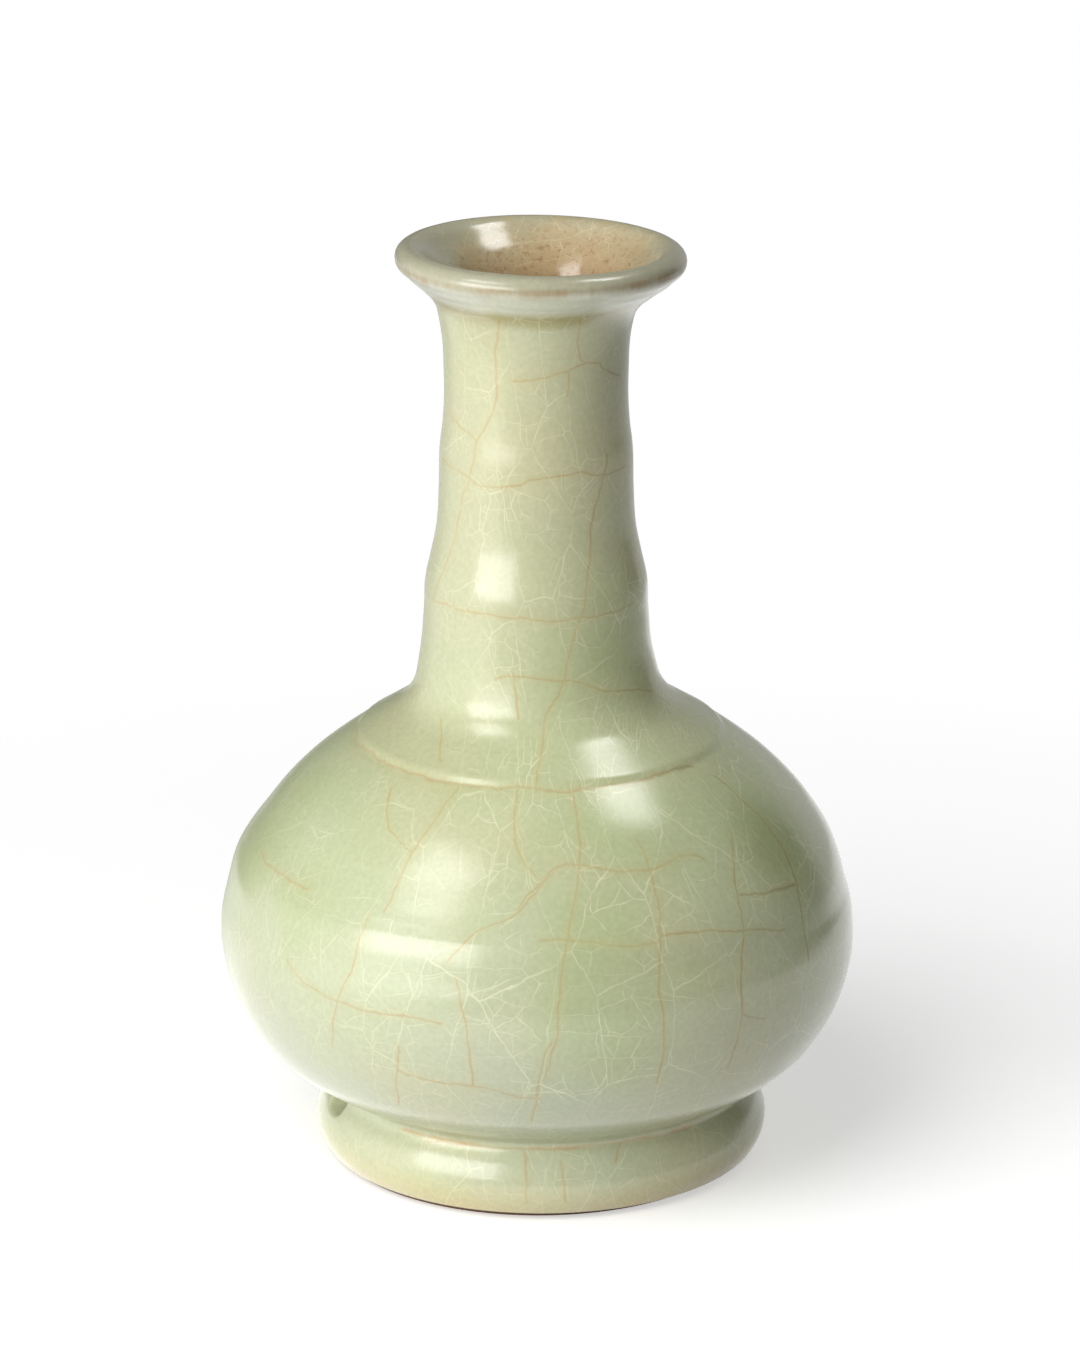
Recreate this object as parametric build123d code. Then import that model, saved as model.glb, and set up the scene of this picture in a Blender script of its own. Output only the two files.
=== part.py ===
"""A small bottle vase of crackled celadon stoneware: thrown in sections, luted with slip and glazed.

The frame is +Z up with the origin at the middle of the standing ring, in millimetres. The two cord holes
through the foot lie on the X axis. Every clay section, slip seam and coat of glaze is a solid of its own.
"""

import os

from build123d import *

# Heights of the thrown sections, stacked from the table up
foot_height = 16.6
lower_body_height = 26.4
upper_body_height = 42.0
neck_height = 67.5
mouth_height = 12.5

# Foot: a convex ring on a bare flat edge, drawn in to a waist under the body
standing_radius = 36.4
standing_width = 4.4
bare_foot_height = 0.9
glaze_edge_spread = 1.9
glaze_edge_lean = (0.6, 0.8)
foot_bulge_spread = 3.85
foot_bulge_drop = 8.2
foot_shoulder_spread = 2.9
foot_shoulder_drop = 3.8
waist_spread = 0.9
waist_drop = 3.2
recess_draft = 1.2
recess_fillet = 2.5

# Main radii of the glazed outside
girth_radius = 56.15
neck_root_radius = 22.7
throat_radius = 16.0
lip_radius = 25.2

# How far the belly draws in from the girth, and the shoulder spreads from the root of the neck
underside_inset = 12.75
flank_inset = 9.2
hip_inset = 5.45
belly_inset = 0.85
swell_inset = 1.45
crown_inset = 3.25
brow_inset = 6.65
shoulder_inset = 12.1
collar_spread = 13.5
sweep_spread = 4.9

# How far the neck draws in from its root, spreads from its throat and draws in again under the lip.
# Two soft steps, like the nodes of bamboo, part the neck into three drums.
neck_foot_inset = 2.0
lower_drum_spread = 3.7
lower_step_spread = 3.42
lower_slope_spread = 2.35
middle_drum_spread = 1.42
slim_neck_spread = 1.0
upper_step_spread = 0.8
upper_drum_spread = 0.2
mouth_root_spread = 0.88
flare_spread = 1.8
lip_underside_inset = 4.4
lip_roll_inset = 1.95

# Where these radii lie, as shares of the height of their own section
underside_share = 0.03
flank_share = 0.13
hip_share = 0.28
belly_share = 0.66
swell_share = 0.155
crown_share = 0.31
brow_share = 0.44
shoulder_share = 0.60
collar_share = 0.76
sweep_share = 0.895
neck_foot_share = 0.09
lower_drum_share = 0.222
lower_step_share = 0.304
lower_slope_share = 0.378
middle_drum_share = 0.449
slim_neck_share = 0.541
upper_step_share = 0.655
upper_drum_share = 0.735
throat_share = 0.845
flare_share = 0.20
lip_underside_share = 0.44
lip_roll_share = 0.60

# Lip: a quarter ellipse from its widest point to its crest
lip_rise = 2.2
lip_inset = 2.6

# Raised strings turned on the upper body. Each has a crease at its own share of the height, and a soft
# swelling beside it: below the crease on the belly, above it on the shoulder.
girth_string_share = 0.155
upper_string_share = 0.44
shoulder_string_share = 0.812
belly_string_rise = 0.25
shoulder_string_rise = 0.5
string_step = 1.2
# The section of a string: steps along the wall from its crease, and the share of its rise there
string_section = ((-2, 0), (-1, 0), (0, 0), (1, 1), (2, 0.9), (3.5, 0.35), (5, 0))

# Clay walls and the bevelled slip seams between the sections
body_wall = 4.0
neck_wall = 2.8
base_thickness = 4.6
floor_radius = 30.0
slip_thickness = 0.6
joint_bevel = 1.6
joint_reach = 3.0

# Coats of glaze
outer_glaze_thickness = 1.1
inner_glaze_thickness = 0.7
base_glaze_thickness = 0.7
rim_glaze_thickness = 0.6
bare_recess_height = 1.6

# Cord holes through the foot, measured inside their lining of glaze
cord_hole_width = 6.5
cord_hole_height = 5.0
cord_hole_corner = 1.8
cord_hole_roof = 1.9
cord_hole_lining = 0.5
cord_hole_edge = 0.6

UP = (0, 1)
OUTWARD = (1, 0)

# Levels above the table, and radii that several pieces share
waist_level = foot_height - waist_drop
girth_level = foot_height + lower_body_height
neck_level = girth_level + upper_body_height
mouth_level = neck_level + neck_height
crest_level = mouth_level + mouth_height
lip_level = crest_level - lip_rise
floor_level = foot_height + base_thickness
crest_radius = lip_radius - lip_inset
waist_radius = standing_radius + waist_spread
mouth_root_radius = throat_radius + mouth_root_spread


def on_lower_body(share):
    return foot_height + share * lower_body_height


def on_upper_body(share):
    return girth_level + share * upper_body_height


def on_neck(share):
    return neck_level + share * neck_height


def on_mouth(share):
    return mouth_level + share * mouth_height


def smooth_outline(points, start, end):
    """A smooth curve through points that sets out along one direction and ends along another."""
    return Spline(points, tangents=[start, end], tangent_scalars=[1, 1])


def shifted(curve, points, depth):
    """Points of an outline that climbs the outside of the vase, moved into the wall by a depth."""
    moved = []
    for point in points:
        along = curve.tangent_at(point)
        moved.append(Vector(point) + Vector(-along.Y, along.X) * depth)
    return moved


def place_at_height(curve, height):
    """Where a climbing outline reaches a height, from 0 at its start to 1 at its end."""
    low, high = 0.0, 1.0
    for _ in range(40):
        middle = (low + high) / 2
        if (curve @ middle).Y < height:
            low = middle
        else:
            high = middle
    return low


def add_string(curve, points, crease_level, rise, side):
    """Adds a raised string to the points of an outline, above its crease for a side of 1, below it for -1."""
    crease = place_at_height(curve, crease_level)
    reach = side * string_step / curve.length
    string = []
    for steps, share in string_section:
        place = crease + steps * reach
        along = curve % place
        string.append(curve @ place + Vector(along.Y, -along.X) * share * rise)
    lowest = min(p.Y for p in string) - string_step / 2
    highest = max(p.Y for p in string) + string_step / 2
    clear = [p for p in points if not lowest < p.Y < highest]
    return sorted(clear + string, key=lambda p: p.Y)


def turned(face):
    """A solid of revolution about the Z axis from a face drawn as radius and height."""
    return revolve(Plane.YZ * face, Axis.Z)


# Foot outline, from the edge of the glaze to the waist
foot_points = [
    Vector(standing_radius + glaze_edge_spread, bare_foot_height),
    Vector(standing_radius + foot_bulge_spread, waist_level - foot_bulge_drop),
    Vector(standing_radius + foot_shoulder_spread, waist_level - foot_shoulder_drop),
    Vector(waist_radius, waist_level),
]
foot_outside = smooth_outline(foot_points, glaze_edge_lean, UP)
foot_clay_points = shifted(foot_outside, foot_points, outer_glaze_thickness)
foot_clay = smooth_outline(foot_clay_points, glaze_edge_lean, UP)

# Body outline without its strings, from the waist to the widest point of the lip
body_stations = [
    Vector(girth_radius - underside_inset, on_lower_body(underside_share)),
    Vector(girth_radius - flank_inset, on_lower_body(flank_share)),
    Vector(girth_radius - hip_inset, on_lower_body(hip_share)),
    Vector(girth_radius - belly_inset, on_lower_body(belly_share)),
    Vector(girth_radius, girth_level),
    Vector(girth_radius - swell_inset, on_upper_body(swell_share)),
    Vector(girth_radius - crown_inset, on_upper_body(crown_share)),
    Vector(girth_radius - brow_inset, on_upper_body(brow_share)),
    Vector(girth_radius - shoulder_inset, on_upper_body(shoulder_share)),
    Vector(neck_root_radius + collar_spread, on_upper_body(collar_share)),
    Vector(neck_root_radius + sweep_spread, on_upper_body(sweep_share)),
]
neck_stations = [
    Vector(neck_root_radius, neck_level),
    Vector(neck_root_radius - neck_foot_inset, on_neck(neck_foot_share)),
    Vector(throat_radius + lower_drum_spread, on_neck(lower_drum_share)),
    Vector(throat_radius + lower_step_spread, on_neck(lower_step_share)),
    Vector(throat_radius + lower_slope_spread, on_neck(lower_slope_share)),
    Vector(throat_radius + middle_drum_spread, on_neck(middle_drum_share)),
    Vector(throat_radius + slim_neck_spread, on_neck(slim_neck_share)),
    Vector(throat_radius + upper_step_spread, on_neck(upper_step_share)),
    Vector(throat_radius + upper_drum_spread, on_neck(upper_drum_share)),
    Vector(throat_radius, on_neck(throat_share)),
    Vector(mouth_root_radius, mouth_level),
    Vector(throat_radius + flare_spread, on_mouth(flare_share)),
    Vector(lip_radius - lip_underside_inset, on_mouth(lip_underside_share)),
    Vector(lip_radius - lip_roll_inset, on_mouth(lip_roll_share)),
]
waist = Vector(waist_radius, waist_level)
lip = Vector(lip_radius, lip_level)
plain_outside = smooth_outline([waist] + body_stations + neck_stations + [lip], UP, UP)

# Body outline with its strings, and the clay under its glaze
wall_points = body_stations + neck_stations
for share, rise, side in (
    (girth_string_share, belly_string_rise, -1),
    (upper_string_share, belly_string_rise, -1),
    (shoulder_string_share, shoulder_string_rise, 1),
):
    wall_points = add_string(plain_outside, wall_points, on_upper_body(share), rise, side)
body_outside = smooth_outline([waist] + wall_points + [lip], UP, UP)
clay_lip = lip - Vector(rim_glaze_thickness, 0)
clay_points = shifted(body_outside, wall_points, outer_glaze_thickness)
body_clay = smooth_outline([foot_clay @ 1] + clay_points + [clay_lip], UP, UP)

# Rolled lip, glazed and in the clay
lip_outside = EllipticalCenterArc((crest_radius, lip_level), lip_inset, lip_rise, arc_size=90)
lip_clay = EllipticalCenterArc(
    (crest_radius, lip_level),
    lip_inset - rim_glaze_thickness,
    lip_rise - rim_glaze_thickness,
    arc_size=90,
)

# Inside of the clay and of its glaze, from the flat of the floor up to the crest of the lip
body_inside = shifted(plain_outside, body_stations[2:], outer_glaze_thickness + body_wall)
neck_inside = shifted(plain_outside, neck_stations, outer_glaze_thickness + neck_wall)
body_glazed = shifted(
    plain_outside, body_stations[2:], outer_glaze_thickness + body_wall + inner_glaze_thickness
)
neck_glazed = shifted(
    plain_outside, neck_stations, outer_glaze_thickness + neck_wall + inner_glaze_thickness
)
floor_edge = Vector(floor_radius, floor_level)
glazed_floor_edge = floor_edge + Vector(0, inner_glaze_thickness)
clay_inside = smooth_outline(
    [floor_edge] + body_inside + neck_inside + [lip_clay @ 1], OUTWARD, OUTWARD
)
glazed_inside = smooth_outline(
    [glazed_floor_edge] + body_glazed + neck_glazed + [lip_outside @ 1], OUTWARD, OUTWARD
)
clay_floor = Line((0, floor_level), floor_edge)
glazed_floor = Line((0, floor_level + inner_glaze_thickness), glazed_floor_edge)


def recess_face(skin):
    """The hollow under the base, drawn smaller by the thickness of a skin on its wall and roof."""
    mouth = standing_radius - standing_width - skin
    roof = foot_height - skin
    hollow = make_face(Polyline((0, 0), (mouth, 0), (mouth - recess_draft, roof), (0, roof), close=True))
    corner = hollow.vertices().group_by(Axis.Y)[-1].sort_by(Axis.X)[-1]
    return fillet(corner, recess_fillet - skin)


# The whole thickness of clay, before it is parted into sections
clay_face = make_face(
    [
        Line((0, 0), (standing_radius, 0)),
        Line((standing_radius, 0), foot_clay @ 0),
        foot_clay,
        body_clay,
        lip_clay,
        clay_inside,
        clay_floor,
        Line(clay_floor @ 0, (0, 0)),
    ]
)
clay_face -= recess_face(0)


def bevelled_seam(level, radius, wall):
    """A band of slip that leans up towards the outside, across the wall at one level."""
    outer = radius + joint_reach
    inner = radius - outer_glaze_thickness - wall - joint_reach
    return make_face(
        Polyline(
            (inner, level - joint_bevel - slip_thickness),
            (outer, level + joint_bevel - slip_thickness),
            (outer, level + joint_bevel),
            (inner, level - joint_bevel),
            close=True,
        )
    )


foot_seam = Pos(0, foot_height - slip_thickness / 2) * Rectangle(2 * girth_radius, slip_thickness)
seams = [
    foot_seam,
    bevelled_seam(girth_level, girth_radius, body_wall),
    bevelled_seam(neck_level, neck_root_radius, body_wall),
    bevelled_seam(mouth_level, mouth_root_radius, neck_wall),
]
section_faces = (clay_face - seams).faces().sort_by(Axis.Y)
section_names = ["foot_ring", "lower_body", "upper_body", "neck", "mouth_rim"]
seam_names = ["foot_luting", "girth_luting", "neck_luting", "mouth_luting"]
nodes = {name: turned(face) for name, face in zip(section_names, section_faces)}
for name, seam in zip(seam_names, seams):
    nodes[name] = turned(clay_face & seam)

# Coats of glaze
nodes["outer_glaze"] = turned(
    make_face(
        [
            foot_outside,
            body_outside,
            lip_outside,
            Line(lip_outside @ 1, lip_clay @ 1),
            lip_clay,
            body_clay,
            foot_clay,
            Line(foot_clay @ 0, foot_outside @ 0),
        ]
    )
)
nodes["inner_glaze"] = turned(
    make_face(
        [
            clay_floor,
            clay_inside,
            Line(lip_clay @ 1, lip_outside @ 1),
            glazed_inside,
            glazed_floor,
            Line(clay_floor @ 0, glazed_floor @ 0),
        ]
    )
)
bare_edge = Pos(0, bare_recess_height / 2) * Rectangle(2 * standing_radius, bare_recess_height)
nodes["base_glaze"] = turned(recess_face(0) - recess_face(base_glaze_thickness) - bare_edge)

# Cord holes through the foot along the X axis, lined with the outer glaze
cord_hole_level = foot_height - cord_hole_roof - cord_hole_height / 2


def cord_hole(skin):
    """A bar through the whole foot, larger than the clear hole by a skin all round."""
    section = RectangleRounded(
        cord_hole_width + 2 * skin, cord_hole_height + 2 * skin, cord_hole_corner + skin
    )
    return extrude(Plane.YZ * Pos(0, cord_hole_level) * section, girth_radius, both=True)


clear_hole = cord_hole(0)
clay_hole = cord_hole(cord_hole_lining)
pierced_glaze = nodes["outer_glaze"] - clear_hole
hole_rims = [
    edge
    for edge in pierced_glaze.edges()
    if abs(edge.center().Y) < cord_hole_width
    and abs(edge.center().Z - cord_hole_level) < cord_hole_height
    and edge.distance_to(nodes["foot_ring"]) > outer_glaze_thickness / 2
]
softened_glaze = fillet(hole_rims, cord_hole_edge)
lining = ((nodes["foot_ring"] + nodes["base_glaze"]) & clay_hole) - clear_hole
nodes["outer_glaze"] = softened_glaze + lining
nodes["foot_ring"] -= clay_hole
nodes["base_glaze"] -= clay_hole

os.makedirs("parts", exist_ok=True)
for name, solid in nodes.items():
    export_step(solid, f"parts/{name}.step")
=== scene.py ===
"""A small bottle vase of crackled celadon stoneware: its clay, coats of glaze and crackle, in metres."""

import math

import bmesh
import bpy
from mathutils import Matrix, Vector


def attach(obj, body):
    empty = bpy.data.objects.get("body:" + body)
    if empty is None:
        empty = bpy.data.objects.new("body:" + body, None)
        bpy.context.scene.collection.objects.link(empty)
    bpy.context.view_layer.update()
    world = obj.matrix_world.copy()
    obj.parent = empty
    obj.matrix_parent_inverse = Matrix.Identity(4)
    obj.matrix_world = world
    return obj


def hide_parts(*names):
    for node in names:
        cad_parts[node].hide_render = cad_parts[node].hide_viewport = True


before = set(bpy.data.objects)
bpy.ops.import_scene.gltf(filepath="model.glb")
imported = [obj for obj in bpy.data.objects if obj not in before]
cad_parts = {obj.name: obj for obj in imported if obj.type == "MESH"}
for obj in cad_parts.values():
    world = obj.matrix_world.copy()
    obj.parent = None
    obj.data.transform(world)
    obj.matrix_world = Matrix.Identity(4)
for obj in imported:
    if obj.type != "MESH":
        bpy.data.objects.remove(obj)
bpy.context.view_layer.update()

# Clay sections: the foot ring, the two halves of the belly, the neck and the mouth, thrown from dark
# stoneware and fired hard. Glaze covers them all, apart from the flat edge that the vase stands on.

MM = 0.001


def linear(hex_colour):
    """An sRGB hex colour as linear red, green and blue, with an alpha of 1."""
    channels = [int(hex_colour[i:i + 2], 16) / 255 for i in (1, 3, 5)]
    return [c / 12.92 if c <= 0.04045 else ((c + 0.055) / 1.055) ** 2.4 for c in channels] + [1.0]


def add_node(tree, kind, inputs, **settings):
    """Adds a node with its settings, and sets its inputs, by name or number, to values, sockets or nodes."""
    node = tree.nodes.new(kind)
    for name, value in settings.items():
        setattr(node, name, value)
    for name, value in inputs.items():
        if isinstance(name, int):
            socket = node.inputs[name]
        else:
            socket = next(s for s in node.inputs if s.name == name and s.enabled)
        if isinstance(value, bpy.types.Node):
            value = next(s for s in value.outputs if s.enabled)
        if isinstance(value, bpy.types.NodeSocket):
            tree.links.new(value, socket)
        else:
            socket.default_value = value
    return node


def new_material(name):
    """An empty material, with its node tree, its shader and the coordinates of the object."""
    material = bpy.data.materials.new(name)
    material.use_nodes = True
    tree = material.node_tree
    shader = tree.nodes["Principled BSDF"]
    place = add_node(tree, "ShaderNodeTexCoord", {}).outputs["Object"]
    return material, tree, shader, place


def paint(nodes, material):
    """Gives CAD nodes a material in place of their plain one."""
    for name in nodes:
        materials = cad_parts[name].data.materials
        materials.clear()
        materials.append(material)


# Iron-bearing stoneware, fired bare: matt and dark brown, with paler sand grains and a slightly open surface.
clay_mottle_size = 5 * MM
sand_grain_spacing = 0.9 * MM
clay_roughness_height = 0.03 * MM
stoneware, tree, shader, place = new_material("fired_stoneware")
mottle = add_node(
    tree,
    "ShaderNodeTexNoise",
    {"Vector": place, "Scale": 1 / clay_mottle_size, "Detail": 5, "Roughness": 0.6},
)
grains = add_node(tree, "ShaderNodeTexVoronoi", {"Vector": place, "Scale": 1 / sand_grain_spacing})
grain_tops = add_node(tree, "ShaderNodeMapRange", {"Value": grains, 1: 0.14, 2: 0.26, 3: 0.5, 4: 0.0})
clay_colour = add_node(
    tree,
    "ShaderNodeMix",
    {"Factor": mottle, "A": linear("#4f3a29"), "B": linear("#7a5b40")},
    data_type="RGBA",
)
sandy_colour = add_node(
    tree, "ShaderNodeMix", {"Factor": grain_tops, "A": clay_colour, "B": linear("#a58c6a")}, data_type="RGBA"
)
clay_bump = add_node(
    tree, "ShaderNodeBump", {"Height": mottle, "Distance": clay_roughness_height, "Strength": 1.0}
)
tree.links.new(sandy_colour.outputs["Result"], shader.inputs["Base Color"])
tree.links.new(clay_bump.outputs["Normal"], shader.inputs["Normal"])
shader.inputs["Roughness"].default_value = 0.85
paint(("foot_ring", "lower_body", "upper_body", "neck", "mouth_rim"), stoneware)

# Slip seams: liquid clay of the same body, brushed on the bevelled edges of two sections before they are
# pressed together, and fired with them. They lie inside the wall.

# Fired slip: the same clay without its sand, so it is smoother and a little paler.
slip, tree, shader, place = new_material("fired_slip")
slip_streaks = add_node(
    tree, "ShaderNodeTexNoise", {"Vector": place, "Scale": 1 / clay_mottle_size, "Detail": 3}
)
slip_colour = add_node(
    tree,
    "ShaderNodeMix",
    {"Factor": slip_streaks, "A": linear("#6b5540"), "B": linear("#8a7258")},
    data_type="RGBA",
)
tree.links.new(slip_colour.outputs["Result"], shader.inputs["Base Color"])
shader.inputs["Roughness"].default_value = 0.8
paint(("foot_luting", "girth_luting", "neck_luting", "mouth_luting"), slip)

# Outer coat: a thick celadon glaze over the whole outside, from the rolled lip down to just above the bare
# edge of the foot. The vase was dipped in it, and it also lines the two cord holes through the foot.

outer_thickness = 1.1 * MM
turns = 180
outline_steps = 6
foot_level = 0.9
waist_level = 13.4
lip_level = 162.8
crest_level = 165.0
crest_radius = 22.6
lip_radius = 25.2
# Handles of a quarter circle, as a share of its radius
ROUND = 0.5523
# Radius and height in millimetres, from the edge of the glaze to the crest of the lip. Where the direction
# is set, the third value is the reach of the handles before and after the point.
outer_outline = [
    (38.3, foot_level, ((0, 0), (0.8, 1.1))),
    (40.25, 5.2),
    (39.3, 9.6),
    (37.3, waist_level, ((0, -1.4), (0, 1.5))),
    (43.4, 17.4),
    (46.95, 20.0),
    (50.7, 24.0),
    (55.3, 34.0),
    (56.15, 43.0),
    (54.9, 49.5),
    (52.9, 56.0),
    (49.5, 61.5),
    (44.05, 68.2),
    (36.2, 74.9),
    (27.6, 80.6),
    (22.7, 85.0),
    (20.7, 91.1),
    (19.7, 100.0),
    (19.42, 105.5),
    (18.35, 110.5),
    (17.42, 115.3),
    (17.0, 121.5),
    (16.8, 129.2),
    (16.2, 134.6),
    (16.0, 142.0),
    (16.88, 152.5),
    (17.8, 155.0),
    (20.8, 158.0),
    (23.25, 160.0),
    (lip_radius, lip_level, ((0, -1.6), (0, ROUND * (crest_level - lip_level)))),
    (crest_radius, crest_level, ((ROUND * (lip_radius - crest_radius), 0), (0, 0))),
]


def turn_outline(points, steps):
    """A bmesh skin turned about the Z axis from a smooth outline, which is given in millimetres."""
    curve = bpy.data.curves.new("outline", "CURVE")
    curve.dimensions = "3D"
    spline = curve.splines.new("BEZIER")
    spline.resolution_u = steps
    spline.bezier_points.add(len(points) - 1)
    for knot, (radius, height, *reach) in zip(spline.bezier_points, points):
        knot.co = (radius * MM, 0, height * MM)
        knot.handle_left_type = knot.handle_right_type = "FREE" if reach else "AUTO"
        if reach:
            before, after = reach[0]
            knot.handle_left = knot.co + Vector((before[0], 0, before[1])) * MM
            knot.handle_right = knot.co + Vector((after[0], 0, after[1])) * MM
    drawing = bpy.data.objects.new("outline", curve)
    line = bpy.data.meshes.new_from_object(drawing)
    bpy.data.objects.remove(drawing)
    skin = bmesh.new()
    skin.from_mesh(line)
    bmesh.ops.spin(
        skin,
        geom=skin.verts[:] + skin.edges[:],
        axis=(0, 0, 1),
        cent=(0, 0, 0),
        angle=2 * math.pi,
        steps=turns,
        use_merge=True,
    )
    bmesh.ops.remove_doubles(skin, verts=skin.verts[:], dist=0.001 * MM)
    bmesh.ops.recalc_face_normals(skin, faces=skin.faces[:])
    return skin


# The vase is not quite true: going up, its axis moves to the camera's left and right, and its mouth tips.
# Each row has the heights between which the axis moves and how far right it is above them, in millimetres.
lean_side = Vector((0.951, -0.309, 0))
foot_shift = 0.5
sidesteps = [(14, 26, 0.0), (30, 46, -0.3), (53, 63, 0.3), (78, 95, -0.4), (152, 160, 0.4)]
tip_from = 150
tip_until = 160
mouth_tip = math.tan(math.radians(0.9))
sharpest_smooth = math.radians(40)


def ease(height, start, end):
    """Goes smoothly from 0 at a start height to 1 at an end height."""
    share = min(max((height - start) / (end - start), 0), 1)
    return share * share * (3 - 2 * share)


def finish_piece(skin, name, material):
    """Makes an object of a bmesh: a little out of true, smooth between sharp edges, riding with the vase."""
    for vertex in skin.verts:
        height = vertex.co.z / MM
        aside = below = foot_shift
        for start, end, above in sidesteps:
            aside += (above - below) * ease(height, start, end)
            below = above
        vertex.co.z -= vertex.co.dot(lean_side) * mouth_tip * ease(height, tip_from, tip_until)
        vertex.co += lean_side * aside * MM
    for edge in skin.edges:
        edge.smooth = edge.calc_face_angle(0) < sharpest_smooth
    for face in skin.faces:
        face.smooth = True
    mesh = bpy.data.meshes.new(name)
    skin.to_mesh(mesh)
    skin.free()
    mesh.materials.append(material)
    piece = bpy.data.objects.new(name, mesh)
    bpy.context.scene.collection.objects.link(piece)
    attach(piece, "root")
    return piece


skin = turn_outline(outer_outline, outline_steps)

# The front is the side that the camera sees, turned about the axis from -Y
front_turn = math.radians(-18)
# Three strings: at a crease the wall steps out softly, and eases back over a few times that width. Each has
# the height of its crease, its step and rise, 1 where it swells above the crease or -1 below it, the side
# where it is proudest, in degrees to the right of the front, and how fast it fades from there.
strings = [(49.5, 2.2, 0.1, -1, 90, 2), (57.5, 2.2, 0.12, -1, -40, 2), (77.1, 1.9, 0.5, 1, 0, 0)]
step_rows = 6
ease_back = 5
least_upright = 0.1
# A row of corners nearer than this to a cut is taken for the cut
cut_tolerance = 0.03 * MM
for crease, step, _, side, _, _ in strings:
    for row in range(-1, step_rows + 1):
        bmesh.ops.bisect_plane(
            skin,
            geom=skin.verts[:] + skin.edges[:] + skin.faces[:],
            dist=cut_tolerance,
            plane_co=(0, 0, (crease + side * row * step / step_rows) * MM),
            plane_no=(0, 0, 1),
        )
skin.normal_update()
lifts = []
for vertex in skin.verts:
    lift = 0
    from_front = math.atan2(vertex.co.x, -vertex.co.y) - front_turn
    upright = max(math.hypot(vertex.normal.x, vertex.normal.y), least_upright)
    for crease, step, rise, side, proudest, fading in strings:
        rise *= ((1 + math.cos(from_front - math.radians(proudest))) / 2) ** fading
        along = side * (vertex.co.z / MM - crease) / upright / step
        if 0 < along < 1:
            lift += rise * (1 - math.cos(math.pi * along)) / 2
        elif 1 <= along < 1 + ease_back:
            lift += rise * (1 + math.cos(math.pi * (along - 1) / ease_back)) / 2
    lifts.append((vertex, vertex.normal * lift * MM))
for vertex, lift in lifts:
    vertex.co += lift

# Two cord holes through the foot, on the X axis: rounded slots, from the wall to the hollow under the base.
# Sizes without MM are in millimetres, and a squareness of 2 would make the slots ellipses.
hole_half_width = 3.25
hole_half_height = 2.5
hole_level = 12.2
hole_squareness = 3.2
recess_radius = 31.3
recess_draft = 1.2
recess_height = 15.9
hole_edge = 0.7 * MM
foot_top = 20 * MM
wall_line = sorted((v.co.z / MM, math.hypot(v.co.x, v.co.y) / MM) for v in skin.verts if v.co.z < foot_top)


def foot_radius(height):
    """Radius of the glazed foot at a height, both in millimetres."""
    above = next(i for i, (level, _) in enumerate(wall_line) if level > height)
    (low, low_radius), (high, high_radius) = wall_line[above - 1], wall_line[above]
    return low_radius + (high_radius - low_radius) * (height - low) / max(high - low, 1e-6)


levels = sorted({round(level, 3) for level, _ in wall_line})
lowest_row = max(level for level in levels if level <= hole_level - hole_half_height)
highest_row = min(level for level in levels if level >= hole_level + hole_half_height)
column = 2 * math.pi / turns
half_block = column * math.ceil(hole_half_width / (foot_radius(hole_level) * column))
doomed = []
for face in skin.faces:
    middle = face.calc_center_median()
    turned = abs(math.atan2(middle.y, abs(middle.x)))
    if turned < half_block and lowest_row < middle.z / MM < highest_row:
        doomed.append(face)
bmesh.ops.delete(skin, geom=doomed, context="FACES")
rim = [e for e in skin.edges if e.is_boundary and lowest_row - 1 < e.verts[0].co.z / MM < highest_row + 1]
rim = [e for e in rim if abs(e.verts[0].co.y) < 2 * hole_half_width * MM]
for vertex in {v for e in rim for v in e.verts}:
    across = vertex.co.y / MM / hole_half_width
    along = (vertex.co.z / MM - hole_level) / hole_half_height
    around = math.atan2(along, across)
    power = 2 / hole_squareness
    y = hole_half_width * math.copysign(abs(math.cos(around)) ** power, across)
    z = hole_level + hole_half_height * math.copysign(abs(math.sin(around)) ** power, along)
    x = math.copysign(math.sqrt(foot_radius(z) ** 2 - y * y), vertex.co.x)
    vertex.co = Vector((x, y, z)) * MM
tube = bmesh.ops.extrude_edge_only(skin, edges=rim)["geom"]
for vertex in [g for g in tube if isinstance(g, bmesh.types.BMVert)]:
    y, z = vertex.co.y / MM, vertex.co.z / MM
    inner = recess_radius - recess_draft * z / recess_height
    vertex.co.x = math.copysign(math.sqrt(inner * inner - y * y) * MM, vertex.co.x)
bmesh.ops.recalc_face_normals(skin, faces=skin.faces[:])
rim_corners = {tuple(round(c / MM, 3) for c in v.co) for e in rim for v in e.verts}
bmesh.ops.solidify(skin, geom=skin.faces[:], thickness=outer_thickness)


def on_rim(vertex):
    """Whether a corner is on the rim of a cord hole."""
    return tuple(round(c / MM, 3) for c in vertex.co) in rim_corners


def on_lower_edge(vertex):
    """Whether a corner is on the lower edge of the glaze."""
    return abs(vertex.co.z / MM - foot_level) < 0.01


softened = [e for e in skin.edges if all(on_rim(v) for v in e.verts)]
softened += [e for e in skin.edges if all(on_lower_edge(v) for v in e.verts)]
bmesh.ops.bevel(
    skin,
    geom=softened,
    offset=hole_edge,
    offset_type="OFFSET",
    segments=4,
    profile=0.5,
    affect="EDGES",
    material=-1,
    clamp_overlap=True,
)

# Celadon, fired in reduction: a grey-green glass full of fine bubbles, a little milky and softly glossy,
# greyer low on the belly, partly where it is thick and partly as a painted reflection of the white table,
# and ochre or brown where it thins, at the foot and the lip.


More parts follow.
